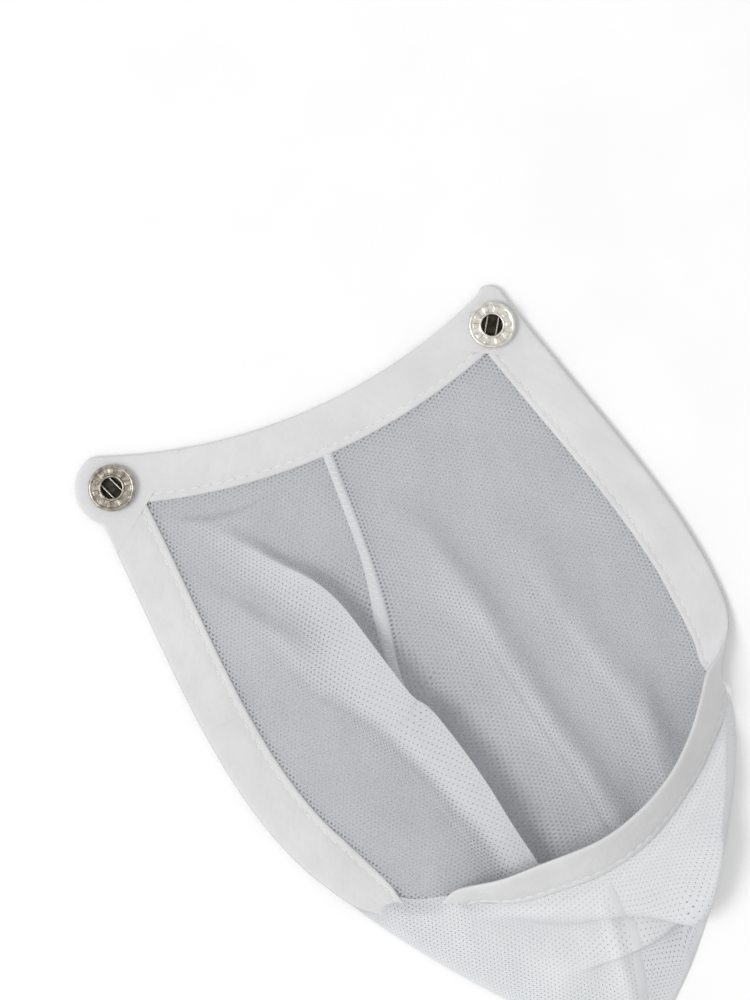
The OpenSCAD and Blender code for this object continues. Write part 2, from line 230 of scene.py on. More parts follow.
# The pouch's outline, and the two seams down its middle.
left_snap, right_snap = np.array([-55.0, 0]), np.array([55.0, 0])
left_arc = arc_points(left_snap, 10, 98, 232, 40)
right_arc = arc_points(np.array([57, 6.5]), 4, 104, 14, 20)
left_side = bezier([left_arc[-1], (-58.5, -49.7), (-62.5, -95.2), (-41, -126)], 120)
right_side = bezier([right_arc[-1], (70, -31.7), (97, -92), (75, -114)], 120)
toe_left = bezier([(-41, -126), (-33, -141), (-2, -186), (18, -191)], 80)
toe_right = bezier([(18, -191), (36, -186), (74, -136), (75, -114)], 80)
back_seam_line = through([
    (1.4, 4), (1.2, -15.5), (0.1, -40), (-1.3, -62), (-1.9, -76), (-1.0, -85), (2.9, -95),
    (6.3, -106.6), (9.5, -125), (11.8, -137), (14.5, -152), (17, -175), (18, -194)], 160)
front_seam_line = through([(23.5, -136), (24, -144), (25.5, -156), (24.5, -170), (18, -193)], 60)

# Each corner folds on a line through a point at the tapes' inner edge. Its outward
# direction points at the socket.
left_inner, right_inner = np.array([-47.8, -7.24]), np.array([50.7, -6.31])
left_out, right_out = square_to(36), square_to(-29)


def top_line(inset, x0, x1, n=80):
    """The round top edge of the mouth, moved in by the inset."""
    radius, centre_y = 148, 146.5
    x = np.linspace(x0, x1, n)
    return np.stack([x, centre_y - np.sqrt((radius + inset) ** 2 - x ** 2)], 1)


# Where the cloth folds, each line walked from its upper end. The big roll lies on the
# right hand of main_fold and on the left hand of low_fold.
main_fold = through([
    (-50, -12), (-38, -18), (-27.7, -27.9), (-22, -35), (-15.2, -43.5), (-10.9, -52.6),
    (-7.9, -64.6), (-3.8, -81.5), (-0.4, -87.8), (4.6, -106.6), (7.9, -125.4), (10.1, -137.1),
    (13, -152)], 160)
low_fold = through([
    (-62, -22), (-52, -32), (-44.7, -41.3), (-37.8, -50.3), (-33.9, -56.1), (-31.3, -63),
    (-27.7, -72.7), (-23.7, -77), (-15.4, -90.2), (-9.5, -104.9), (-6.8, -114.7), (-3, -128),
    (0, -150)], 160)
valley = through([(-47, -24), (-41.9, -30), (-27.8, -48.5), (-23.6, -53.8), (-18, -66)], 60)
pocket_fold = through([
    (-49, -10.5), (-45.5, -11.9), (-36.6, -16.3), (-25.8, -18.3), (-16.6, -17), (-8, -15)], 60)
right_ridge = through([
    (8, -20), (13, -38), (19.2, -55.6), (24, -85), (30, -115), (33.6, -137.3), (36, -150)], 80)
far_ridge = through([(33, -38), (38, -60), (45, -88), (50, -112), (50, -140)], 80)


def ripple(x, y):
    """The loose lie of a light knit: shallow waves of 8 to 40 mm."""
    return (0.30 * np.sin(x / 6.1 + 0.6 * np.sin(y / 13.0)) * np.sin(y / 9.3 + 1.1)
            + 0.22 * np.sin((x + y) / 4.7 + 1.3 * np.sin((x - y) / 21.0))
            + 0.10 * np.sin(x / 1.9 + y / 5.2 + np.sin(y / 7.7)) * np.sin(y / 3.1 - x / 6.0))


def lean(side, reach, amount):
    """How far cloth beside a fold moves across it, so that the raised side hangs over."""
    return -(side / reach) * np.exp(-(side / reach) ** 2 / 2) * amount


def ridge(side, left, right):
    """A rounded ridge along a line, with its reach on the left hand and on the right."""
    return np.where(side < 0, np.exp(-(side / left) ** 2), np.exp(-(side / right) ** 2))


def fading(way, start, end):
    """How much there is of a fold along its line, since it comes in and dies out."""
    return smooth(way * start) * smooth((1 - way) * end)


def back_surface(p):
    """Where a point of the flat back ends up, in mm."""
    x, y = p[:, 0], p[:, 1]
    main, main_way, main_out = beside(p, main_fold)
    low, low_way, low_out = beside(p, low_fold)
    dip, dip_way, _ = beside(p, valley)
    pocket, pocket_way, _ = beside(p, pocket_fold)
    near, near_way, _ = beside(p, right_ridge)
    far, far_way, _ = beside(p, far_ridge)
    from_left = -beside(p, left_side)[0] - TAPE_WIDTH
    from_right = beside(p, right_side)[0] - TAPE_WIDTH
    from_top = beside(p, top_line(TAPE_WIDTH, -60, 62))[0]
    open_part = smooth((y + 152) / 20)

    # The big roll, the valley and the pocket beside it, and the two ridges on the right.
    crest = np.interp(main_way, [0, 0.1, 0.2, 0.28, 0.45, 0.7, 1],
                      [0, 0.6, 4.6, 6.4, 8.0, 9.5, 8.5])
    roll = (crest * smooth((2.5 - low) / 8.5) * (0.5 + 0.5 * smooth((17 - main) / 16))
            * smooth((main + 3.4) / 4.6))
    roll -= 2.0 * np.exp(-(dip / 3.0) ** 2) * fading(dip_way, 6, 2.5)
    roll += (2.8 * smooth((pocket + 0.8) / 2.4) * np.exp(-(np.maximum(pocket, 0) / 13) ** 2)
             * fading(pocket_way, 5, 2.2))
    roll += ridge(near, 5, 9.5) * 4.0 * smooth(near_way * 3)
    roll -= 0.7 * np.exp(-((near - 2.2) / 0.8) ** 2) * smooth((near_way - 0.3) * 4)
    roll += ridge(far, 7, 4.5) * 3.4 * smooth(far_way * 3)

    # The tape holds the cloth's edge, and the raised side of a fold leans over the low one.
    hold = smooth(np.minimum(from_left / 13, from_right / 10)) * smooth(from_top / 9)
    z = 1.0 + (roll + 0.9 + 1.25 * ripple(x, y)) * (0.12 + 0.88 * open_part)
    bound = np.where(y > -128, TAPE_MIDDLE, 0.9)
    z = bound * (1 - hold) + z * hold
    over = np.interp(main_way, [0, 0.18, 0.3, 0.6, 1], [0, 0.4, 4.0, 6.5, 5.5]) * open_part * hold
    under = np.interp(low_way, [0, 0.25, 0.4, 0.8, 1], [0, 0, 1.8, 2.2, 1.0]) * open_part * hold
    out = (p + main_out * lean(main, 4.2, over)[:, None]
           + low_out * lean(low, 4.0, under)[:, None])
    return np.column_stack([out, np.maximum(z, 0.45)])


def turned_out(mesh, weld=False, up=False):
    """Turns every face outwards, or those of an open sheet to look up as one skin."""
    work = bmesh.new()
    work.from_mesh(mesh)
    if weld:
        bmesh.ops.remove_doubles(work, verts=work.verts[:], dist=0.000001)
    bmesh.ops.recalc_face_normals(work, faces=work.faces[:])
    if up and sum(f.normal.z * f.calc_area() for f in work.faces) < 0:
        bmesh.ops.reverse_faces(work, faces=work.faces[:])
    work.to_mesh(mesh)
    work.free()


def quads(pairs, n, around):
    """Faces between pairs of rows of n points each, whose ends may join all around."""
    return [[a * n + i, a * n + (i + 1) % n, b * n + (i + 1) % n, b * n + i]
            for a, b in pairs for i in range(n if around else n - 1)]


def put_uv(mesh, name, flat):
    """A UV map from one flat place, in mm, for each vertex."""
    uv = mesh.uv_layers.new(name=name)
    loop = np.empty(len(mesh.loops), int)
    mesh.loops.foreach_get("vertex_index", loop)
    uv.data.foreach_set("uv", flat[loop].ravel())


def smooth_piece(name, mesh, *materials):
    """An object that shows the mesh, shaded smooth, in its materials."""
    mesh.shade_smooth()
    for material in materials:
        mesh.materials.append(material)
    return new_object(name, mesh)


def knit_cells(name, keep, surface, turn, centre):
    """Six-sided knit cells laid in staggered rows on the flat cloth, then carried onto the
    surface. The flat place of each corner is kept as the attribute cloth, in mm."""
    c, s = math.cos(math.radians(turn)), math.sin(math.radians(turn))
    reach = 150  # mm, past the farthest edge of any panel
    n = int(reach / KNIT_PITCH)
    i, j = np.meshgrid(np.arange(-n, n), np.arange(-n, n), indexing="ij")
    i, j = i.ravel(), j.ravel()
    mid = np.stack([(i + 0.5 * (j % 2)) * KNIT_PITCH, j * KNIT_PITCH * math.sqrt(3) / 2], 1)
    cloth_to_plan = np.array([[c, s], [-s, c]])
    mid = mid[keep(mid @ cloth_to_plan + centre)]
    corner = np.radians(np.arange(6) * 60 + 30)
    hexagon = np.stack([np.cos(corner), np.sin(corner)], 1)
    flat = (mid[:, None] + KNIT_PITCH / math.sqrt(3) * hexagon[None]).reshape(-1, 2)
    key = np.round(flat / (KNIT_PITCH * 0.05)).astype(int)
    _, first, index = np.unique(key, axis=0, return_index=True, return_inverse=True)
    flat, faces = flat[first], index.reshape(-1, 6)
    points = placed(surface(flat @ cloth_to_plan + centre))
    mesh = bpy.data.meshes.new(name)
    mesh.from_pydata(points.tolist(), [], faces.tolist())
    cloth = mesh.attributes.new("cloth", "FLOAT2", "POINT")
    cloth.data.foreach_set("vector", flat.astype(np.float32).ravel())
    mesh.validate()
    turned_out(mesh, up=True)
    return mesh


def new_group(name, inputs, made):
    """A node group with its (name, kind) inputs and one geometry output, and its input node."""
    tree = bpy.data.node_groups.new(name, "GeometryNodeTree")
    for socket, kind in inputs:
        tree.interface.new_socket(socket, in_out="INPUT", socket_type="NodeSocket" + kind)
    tree.interface.new_socket(made, in_out="OUTPUT", socket_type="NodeSocketGeometry")
    return tree, add(tree, "NodeGroupInput").outputs


def perforations():
    """The tree that opens a hole in every knit cell."""
    tree, given = new_group("knit holes", (
        ("Cells", "Geometry"), ("Hole share", "Float"), ("Slack from", "Float"),
        ("Slack to", "Float"), ("Slack share", "Float"), ("Yarn", "Material")), "Knit")
    grown = add(tree, "GeometryNodeExtrudeMesh", {
        "Mesh": given["Cells"], "Offset Scale": 0.0, "Individual": True}, mode="FACES")
    position = add(tree, "GeometryNodeInputPosition").outputs[0]
    lift = add(tree, "ShaderNodeSeparateXYZ", {0: position}).outputs["Z"]
    slack = add(tree, "ShaderNodeMapRange", {
        "Value": lift, "From Min": given["Slack from"], "From Max": given["Slack to"],
        "To Min": 1.0, "To Max": given["Slack share"]},
        interpolation_type="SMOOTHSTEP").outputs[0]
    share = add(tree, "ShaderNodeMath", {
        0: given["Hole share"], 1: slack}, operation="MULTIPLY").outputs[0]
    shrunk = add(tree, "GeometryNodeScaleElements", {
        "Geometry": grown.outputs["Mesh"], "Selection": grown.outputs["Top"], "Scale": share})
    opened = add(tree, "GeometryNodeDeleteGeometry", {
        "Geometry": shrunk.outputs["Geometry"], "Selection": grown.outputs["Top"]}, domain="FACE")
    dyed = add(tree, "GeometryNodeSetMaterial", {
        "Geometry": opened.outputs["Geometry"], "Material": given["Yarn"]})
    add(tree, "NodeGroupOutput", {"Knit": dyed.outputs["Geometry"]})
    return tree


def made_by(tree, name, mesh, settings):
    """Runs a tree on a mesh with its named inputs, and returns a plain mesh object."""
    start = new_object(name + "_start", mesh)
    modifier = start.modifiers.new("make", "NODES")
    modifier.node_group = tree
    sockets = {s.name: s.identifier for s in tree.interface.items_tree if s.in_out == "INPUT"}
    for key, value in settings.items():
        modifier[sockets[key]] = value
    made = start.evaluated_get(bpy.context.evaluated_depsgraph_get())
    done = bpy.data.meshes.new_from_object(made)
    bpy.data.objects.remove(start)
    done.name = name
    return new_object(name, done)


def cloth_uv(piece):
    """Turns the cloth attribute into a UV map, and shades the piece smooth."""
    mesh = piece.data
    flat = np.empty(len(mesh.vertices) * 2, np.float32)
    mesh.attributes["cloth"].data.foreach_get("vector", flat)
    put_uv(mesh, "cloth_mm", flat.reshape(-1, 2))
    mesh.attributes.remove(mesh.attributes["cloth"])
    mesh.shade_smooth()
    return piece


def knit_material(name, dark, light, dark_painted_lit, light_painted_lit, through_light, over_fold=None):
    """Warp-knitted polyester: soft, matt, lets some light through, and each yarn row catches the
    light. Cloth lifted off the table is painted paler, a painted highlight where it rises into the
    light."""
    material, tree = new_material(name)
    where = add(tree, "ShaderNodeUVMap", uv_map="cloth_mm").outputs["UV"]
    spot = add(tree, "ShaderNodeTexCoord").outputs["Object"]
    across, down, height = add(tree, "ShaderNodeSeparateXYZ", {0: spot}).outputs
    cloud = add(tree, "ShaderNodeTexNoise", {
        "Vector": spot, "Scale": 45.0, "Detail": 4.0}).outputs["Fac"]
    yarn = add(tree, "ShaderNodeTexNoise", {
        "Vector": where, "Scale": 1.6, "Detail": 2.0}).outputs["Fac"]
    rows = add(tree, "ShaderNodeTexWave", {
        "Vector": where, "Scale": 0.48, "Distortion": 1.5, "Detail": 2.0},
        wave_type="BANDS", bands_direction="Y").outputs["Fac"]
    clouded = add(tree, "ShaderNodeMath", {0: cloud, 1: 0.6}, operation="MULTIPLY").outputs[0]
    flecked = add(tree, "ShaderNodeMath", {0: yarn, 1: 0.4}, operation="MULTIPLY").outputs[0]
    tone = add(tree, "ShaderNodeMath", {0: clouded, 1: flecked}, operation="ADD").outputs[0]
    # Painted highlight: the colour turns to the paler pair as the cloth rises 3 to 9 mm off the
    # table.
    lift = add(tree, "ShaderNodeMapRange", {
        "Value": height, "From Min": 0.003, "From Max": 0.009},
        interpolation_type="SMOOTHSTEP").outputs[0]
    lying = ramp(tree, tone, [(0.3, dark), (0.7, light)])
    lifted = ramp(tree, tone, [(0.3, dark_painted_lit), (0.7, light_painted_lit)])
    colour = add(tree, "ShaderNodeMix", {
        0: lift, 6: lying, 7: lifted}, data_type="RGBA").outputs[2]
    if over_fold:
        # Cloth that comes over the left fold is still one layer, painted as grey as the inside:
        # partly the single layer, partly painted shade.
        past = add(tree, "ShaderNodeMapRange", {
            "Value": down, "From Min": -0.035, "From Max": -0.050},
            interpolation_type="SMOOTHSTEP").outputs[0]
        right = add(tree, "ShaderNodeMapRange", {
            "Value": across, "From Min": -0.026, "From Max": -0.016},
            interpolation_type="SMOOTHSTEP").outputs[0]
        white = add(tree, "ShaderNodeMath", {0: past, 1: right}, operation="MAXIMUM").outputs[0]
        single_layer_and_shade = ramp(tree, tone, [(0.3, over_fold[0]), (0.7, over_fold[1])])
        colour = add(tree, "ShaderNodeMix", {
            0: white, 6: single_layer_and_shade, 7: colour}, data_type="RGBA").outputs[2]
    bump = add(tree, "ShaderNodeBump", {
        "Height": rows, "Strength": 0.25, "Distance": 0.00012}).outputs["Normal"]
    bump = add(tree, "ShaderNodeBump", {
        "Height": yarn, "Strength": 0.35, "Distance": 0.0002, "Normal": bump}).outputs["Normal"]
    face = add(tree, "ShaderNodeBsdfPrincipled", {
        "Base Color": colour, "Roughness": 0.78, "IOR": 1.52, "Normal": bump,
        "Sheen Weight": 0.15, "Sheen Roughness": 0.5, "Specular IOR Level": 0.3})
    glow = add(tree, "ShaderNodeBsdfTranslucent", {"Color": colour, "Normal": bump})
    both = add(tree, "ShaderNodeMixShader", {
        0: through_light, 1: face.outputs[0], 2: glow.outputs[0]})
    add(tree, "ShaderNodeOutputMaterial", {"Surface": both.outputs[0]})
    return material


# The inside colours are greyer and bluer than the outside: partly the thinner single layer, partly
# painted shade of the hollow. In each call the third and fourth colours are the painted highlight
# for cloth lifted off the table.
inner_knit_painted_shade = knit_material("warp-knitted polyester, inside",
                           "B7BABF", "C6C8CC", "D0D1D4", "DADBDD", 0.14)
outer_knit = knit_material("warp-knitted polyester, outside",
                           "E4E5E8", "EEEFF1", "E8E9EB", "F1F2F3", 0.2, ("CCCFD3", "D8DADD"))
knit_holes = perforations()


def inside(p, line):
    """Whether points lie inside a closed line walked clockwise."""
    return beside(p, np.vstack([line, line[:1]]))[0] > 0


def keep_back(p, left):
    """Which cells make one half of the back: inside the tapes and the toe, on the pouch's
    side of both corner folds, and on one side of the seam."""
    y = p[:, 1]
    toe = [toe_right[::-1], toe_left[::-1]]
    outline = np.vstack([top_line(KNIT_MARGIN, -48, 51), evenly(right_side, 60)[5:], *toe,
                         evenly(left_side, 60)[::-1][:-5]])
    from_left = -beside(p, left_side)[0]
    from_right = beside(p, right_side)[0]
    from_seam = beside(p, back_seam_line)[0]
    ok = inside(p, outline)
    ok &= (from_left > KNIT_MARGIN) | (y < -126)
    ok &= (from_right > KNIT_MARGIN) | (y < -112) | ((from_right > 4) & (y < -104))
    ok &= np.abs(beside(p, np.vstack(toe))[0]) > 1.9
    for corner, outward in ((left_inner, left_out), (right_inner, right_out)):
        ok &= (p - corner) @ outward < -0.4
    return ok & ((from_seam > -0.5) if left else (from_seam < 0.5))


for name, left, turn, node in (("back_left", True, 4, "back_panel_left"),
                               ("back_right", False, 27, "back_panel_right")):
    mesh = knit_cells(name, lambda p, left=left: keep_back(p, left), back_surface,
                      turn, (0, -90.0))
    panel = cloth_uv(made_by(knit_holes, name, mesh, {
        "Hole share": 0.53, "Slack from": 0.004, "Slack to": 0.009, "Slack share": 0.4,
        "Yarn": inner_knit_painted_shade}))
    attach(panel, "pouch")
    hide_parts(node)

# ---------------------------------------------------------------- the knitted front
# The same knit comes over the toe and up to the lip, slack and rolled outwards. At the left fold
# it hides the tape. It is lighter outside, where two layers lie; the inside's greyer, bluer colour
# is partly that single layer and partly painted shade of the hollow.
front_edge = through([
    (-40.2, -126.8, 1.1), (-34.8, -127.3, 1.2), (-29.6, -128.8, 1.3), (-25.2, -131.9, 1.4),
    (-21, -133.6, 1.5), (-17, -134.6, 2.0), (-12.8, -135.8, 3.2), (-9.5, -139.2, 4.6),
    (1.1, -143.0, 8.6), (11.9, -144.2, 11.0), (25.7, -144.5, 12.0), (40.5, -140.9, 12.0),
    (55.4, -132.3, 10.4), (65.0, -124.7, 7.5), (71.3, -118.7, 4.4), (73.9, -113.9, 2.4)], 160)
rim_line = np.vstack([toe_left, toe_right[1:]])
roll_line = through([
    (-22, -137), (-14, -140.5), (-5.7, -145.5), (10.5, -153.9), (20.7, -156.5), (30, -159.3),
    (36.7, -163.4), (42.5, -165.6), (51, -160.5), (61, -149), (69, -135), (74, -120)], 120)
flap_line = through([
    (62, -143), (55, -151.7), (49.6, -158.1), (42.9, -165.6), (34.8, -168.3), (26.2, -168.1),
    (16.8, -167.6), (9.2, -167), (3, -165)], 80)
RIM_ROLL, RIM_PAST = 3.2, 3.5  # mm inside the rim where the front turns down, and mm past it
LOWEST = 0.35  # mm, the least height of the front above the table


def front_surface(p):
    """Where a point of the flat front ends up, in mm. Past the outline the cloth turns down
    round the rim."""
    x, y = p[:, 0], p[:, 1]
    past, rim_way, out_dir = beside(p, rim_line)
    inset = -past
    steps = np.arange(len(rim_line))
    foot = np.stack([np.interp(rim_way * steps[-1], steps, rim_line[:, k]) for k in (0, 1)], 1)
    edge, edge_way, edge_dir = beside(p, front_edge[:, :2])
    edge_z = np.interp(edge_way, np.linspace(0, 1, len(front_edge)), front_edge[:, 2])
    tucked = edge < 0
    start = p - edge_dir * np.minimum(edge, 0)[:, None]
    edge = np.maximum(edge, 0)
    dome = 1.7 + 4.0 * smooth(inset / 17) + 0.9 * ripple(x * 1.2 + 9, y * 1.3)
    roll, roll_way, roll_dir = beside(p, roll_line)
    top = (edge_z + 1.5 * smooth(edge / 4) - 0.26 * np.maximum(edge - 3, 0)
           + 0.6 * ripple(y * 1.5, x * 1.1))
    z = dome + np.maximum(top - dome, 0) * smooth((1.8 - roll) / 7.0)
    flap, flap_way, flap_dir = beside(p, flap_line)
    ends = fading(flap_way, 5, 4)
    z += 2.6 * smooth((flap + 0.8) / 2.6) * np.exp(-(np.maximum(flap, 0) / 8) ** 2) * ends
    z += 1.9 * np.exp(-(((x - 4) / 7) ** 2 + ((y + 168) / 8) ** 2))
    z += 0.9 * np.exp(-((x - 22 - (y + 150) * 0.1) / 2.0) ** 2) * smooth((-148 - y) / 6)
    z = edge_z + (z - edge_z) * smooth(edge / (2.5 + 3.0 * smooth((-12 - x) / 8)))
    over = np.interp(roll_way, [0, 0.1, 0.3, 0.45, 0.62, 0.75, 1], [0, 0.6, 2.6, 5.0, 4.4, 1.4, 0])
    move = (roll_dir * lean(roll, 3.6, over)[:, None]
            + flap_dir * lean(flap, 2.8, 2.6 * ends)[:, None])
    out = start + move * (smooth(inset / 4) * smooth(edge / 5))[:, None]
    turn = np.clip((inset + RIM_PAST) / (RIM_PAST + RIM_ROLL), 0, 1) * math.pi / 2
    rim = (inset < RIM_ROLL) & ~tucked
    out[rim] = (foot - out_dir * (RIM_ROLL * (1 - np.cos(turn)))[:, None])[rim]
    z = np.where(inset < RIM_ROLL, LOWEST + (z - LOWEST) * np.sin(turn), z)
    return np.column_stack([out, np.maximum(z, LOWEST)])


def keep_front(p, left):
    """Which cells make one half of the front: from the lip to just past the rim."""
    past, way, _ = beside(p, rim_line)
    edge = beside(p, front_edge[:, :2])[0]
    side = beside(p, front_seam_line)[0]
    ok = (edge > -0.9) & (past < 4.0) & (way > 0.012) & (way < 0.992)
    return ok & ((side > -0.6) if left else (side < 0.6))


for name, left, turn, bend_end, node in (
        ("front_left", True, 12, (19, -165.5, 3), "front_panel_left"),
        ("front_right", False, -14, (32.7, -162.6, 3), "front_panel_right")):
    mesh = knit_cells(name, lambda p, left=left: keep_front(p, left), front_surface,
                      turn, (0, -150.0))
    panel = cloth_uv(made_by(knit_holes, name, mesh, {
        "Hole share": 0.22, "Slack from": 0.003, "Slack to": 0.008, "Slack share": 0.8,
        "Yarn": outer_knit}))
    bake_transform(panel)
    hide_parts(node)

# ---------------------------------------------------------------- the binding tape
# White twill tape, 26 mm wide and folded in half over the cut edge of the knit, then
# sewn through near its inner edge. Its fold is the rim of the mouth.
# TAPE is the upper half of its profile: the share of the way from the folded edge to the
# sewn edge, and the height above the tape's middle in mm. It dips at the stitches.
SEWN = 0.845  # share of the way at which the stitches lie
TAPE = [(1.0, 0.0), (0.99, 0.36), (0.955, 0.52), (0.90, 0.55), (0.862, 0.42), (SEWN, 0.36),
        (0.828, 0.42), (0.79, 0.56), (0.6, 0.6), (0.35, 0.6), (0.16, 0.6), (0.07, 0.56),
        (0.025, 0.42), (0.0, 0.0)]
STITCH_PITCH = 3.2  # mm from stitch to stitch on the tape


def tape_material(name, dark, light):
    """Folded cotton-polyester twill: matt, with fine slanted ribs 0.5 mm apart, drawn
    0.8 mm apart so that they show."""
    material, tree = new_material(name)
    where = add(tree, "ShaderNodeUVMap", uv_map="tape_mm").outputs["UV"]
    spot = add(tree, "ShaderNodeTexCoord").outputs["Object"]
    cloud = add(tree, "ShaderNodeTexNoise", {
        "Vector": spot, "Scale": 70.0, "Detail": 5.0}).outputs["Fac"]
    ribs = add(tree, "ShaderNodeTexWave", {
        "Vector": where, "Scale": 0.28, "Distortion": 0.4, "Detail": 1.0},
        wave_type="BANDS", bands_direction="DIAGONAL").outputs["Fac"]
    pucker = add(tree, "ShaderNodeTexNoise", {
        "Vector": where, "Scale": 0.22, "Detail": 3.0}).outputs["Fac"]
    bump = add(tree, "ShaderNodeBump", {
        "Height": ribs, "Strength": 0.10, "Distance": 0.0001}).outputs["Normal"]
    bump = add(tree, "ShaderNodeBump", {
        "Height": pucker, "Strength": 0.45, "Distance": 0.0009, "Normal": bump}).outputs["Normal"]
    face = add(tree, "ShaderNodeBsdfPrincipled", {
        "Base Color": ramp(tree, cloud, [(0.3, dark), (0.7, light)]), "Roughness": 0.82,
        "IOR": 1.52, "Normal": bump, "Sheen Weight": 0.1, "Specular IOR Level": 0.25})
    add(tree, "ShaderNodeOutputMaterial", {"Surface": face.outputs[0]})
    return material


tape_cloth = tape_material("folded white twill", "D3D3D4", "DCDCDD")


def across_tape(E, A):
    """The unit line square to the tape at each station."""
    along = np.gradient((E + A) / 2, axis=0)
    up = np.cross(A - E, along)
    return up / np.linalg.norm(up, axis=1)[:, None]


def tape(name, E, A):
    """A folded tape between its folded edge E and its sewn edge A."""
    up = across_tape(E, A)
    n = len(E)
    ring = TAPE + [(q, -h) for q, h in TAPE[-2:0:-1]]
    way = np.r_[0, np.cumsum(np.linalg.norm(np.diff((E + A) / 2, axis=0), axis=1))]
    wobble = 0.10 * np.sin(way / 2.3) + 0.08 * np.sin(way / 5.1 + 1)
    points, flat = [], []
    for q, h in ring:
        pull = 0.10 * (abs(q - 0.84) < 0.06)
        slack = 1 - pull * (0.5 + 0.5 * np.sin(way * 2 * math.pi / STITCH_PITCH))
        height = h * slack + wobble * q * (1 - q) * 1.6
        points.append(E + (A - E) * q + up * height[:, None])
        flat.append(np.column_stack([way, np.full(n, TAPE_WIDTH * q + (0 if h >= 0 else 30))]))
    m = len(ring)
    mesh = bpy.data.meshes.new(name)
    mesh.from_pydata(placed(np.vstack(points)).tolist(), [],
                     quads([(j, (j + 1) % m) for j in range(m)], n, False))
    put_uv(mesh, "tape_mm", np.vstack(flat))
    turned_out(mesh)
    return smooth_piece(name, mesh, tape_cloth)


def flat3(line):
    """A line laid at the height of the flat tape's middle."""
    return np.column_stack([line, np.full(len(line), TAPE_MIDDLE)])


def to_right(line):
    """The unit direction to the right of a line at each of its points."""
    t = np.gradient(line, axis=0)
    t /= np.linalg.norm(t, axis=1)[:, None]
    return np.stack([t[:, 1], -t[:, 0]], 1)


def inwards(line, side):
    """The sewn edge of a tape with the line as its fold, to the right (1) or left (-1)."""
    return line + side * TAPE_WIDTH * to_right(line)


def cut(line, corner, outward, sign):
    """The part of a line on the pouch's side of a corner's fold, from the fold on."""
    d = (line - corner) @ outward
    i = np.where(d < 0)[0]
    k = i[0] if sign > 0 else i[-1]
    near = k - 1 if sign > 0 else k + 1
    if 0 <= near < len(line):
        t = d[near] / (d[near] - d[k])
        point = line[near] + (line[k] - line[near]) * t
        return np.vstack([point, line[k:]]) if sign > 0 else np.vstack([line[:k + 1], point])
    return line[k:] if sign > 0 else line[:k + 1]


def between_corners(line):
    """The part of a line between the two corner folds, in 120 even steps."""
    line = cut(cut(line, left_inner, left_out, 1), right_inner, right_out, -1)
    return evenly(line, 121)


def below_corner(line, corner, outward, lowest):
    """The part of a side line from its corner's fold down to a height, in 60 even steps."""
    line = cut(line, corner, outward, 1)
    return evenly(line[line[:, 1] > lowest], 61)


top_E = between_corners(top_line(0, -58, 60, 400))
top_A = between_corners(top_line(TAPE_WIDTH, -60, 64, 400))
left_E = below_corner(left_side, left_inner, left_out, -70)
left_A = below_corner(inwards(left_side, -1), left_inner, left_out, -70)
right_E = below_corner(right_side, right_inner, right_out, -70)
right_A = below_corner(inwards(right_side, 1), right_inner, right_out, -66)


def fold_blend(piece, corner, outward):
    """Bakes the piece's placement into its mesh."""
    corner = np.append(corner, TAPE_MIDDLE)
    outward = np.append(outward, 0)
    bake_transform(piece)


top_left = tape("top_tape_left", flat3(top_E[:61]), flat3(top_A[:61]))
top_right = tape("top_tape_right", flat3(top_E[60:]), flat3(top_A[60:]))
side_left = tape("side_tape_left", flat3(left_E), flat3(left_A))
side_right = tape("side_tape_right", flat3(right_E), flat3(right_A))
fold_blend(top_left, left_inner, left_out)
fold_blend(side_left, left_inner, left_out)
fold_blend(top_right, right_inner, right_out)
fold_blend(side_right, right_inner, right_out)
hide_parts("top_tape")
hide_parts("left_side_tape")
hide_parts("right_side_tape")

# The lower run: down the left side, over the left fold, along the lip and up the right side.
stations = np.linspace(0, 119, 24).astype(int)
down = [k for k in stations if -121 < left_side[k][1] <= -72]
up_side = [k for k in stations[::-1] if -88 < right_side[k][1] <= -72]
lower = [((*left_E[-1], 1.5), (*left_A[-1], 1.5))]
lower += [((*left_side[k], 1.5), (*inwards(left_side, -1)[k], 1.5)) for k in down]
lower += [((-40.5, -126.8, 1.9), (-28.8, -125.3, 1.3)),
          ((-35.9, -131.2, 1.9), (-27.0, -132.4, 1.3)),
          ((-30.5, -135.0, 1.5), (-24.2, -138.6, 1.2)),
          ((-23.4, -136.2, 1.3), (-18.6, -141.6, 1.4)),
          ((-18.6, -136.2, 1.8), (-13.8, -141.4, 1.9)),
          ((-12.6, -133.8, 8.2), (-9.5, -139.2, 4.6)),
          ((-1.1, -134.7, 17.5), (1.1, -143.0, 8.6)),
          ((10.1, -134.6, 21.6), (11.9, -144.2, 11.0)),
          ((27.0, -134.6, 23.4), (25.7, -144.5, 12.0)),
          ((39.7, -131.5, 23.2), (40.5, -140.9, 12.0)),
          ((50.4, -126.4, 21.7), (55.4, -132.3, 10.4)),
          ((59.5, -119.1, 19), (65.0, -124.7, 7.5)),
          ((65.8, -112.2, 15.5), (71.3, -118.7, 4.4)),
          ((70.7, -106.5, 11.5), (73.9, -113.9, 2.4)),
          ((76.9, -103.2, 7.0), (72.5, -110.2, 1.4)),
          ((81.5, -98.3, 3.2), (70.8, -104.9, 1.4)),
          ((83.4, -91.9, 1.6), (71.3, -97.4, 1.5))]
lower += [((*right_side[k], 1.5), (*inwards(right_side, 1)[k], 1.5)) for k in up_side]
lower += [((*right_E[-1], 1.5), (*right_A[-1], 1.5))]
pair = spline(lower, 9)
lip_E, lip_A = pair[:, 0], pair[:, 1]
lip_piece = tape("lip_tape_run", lip_E, lip_A)


def hinge_blend(piece):
    """Bakes the piece's placement into its mesh."""
    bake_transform(piece)


hinge_blend(lip_piece)
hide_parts("lip_tape")

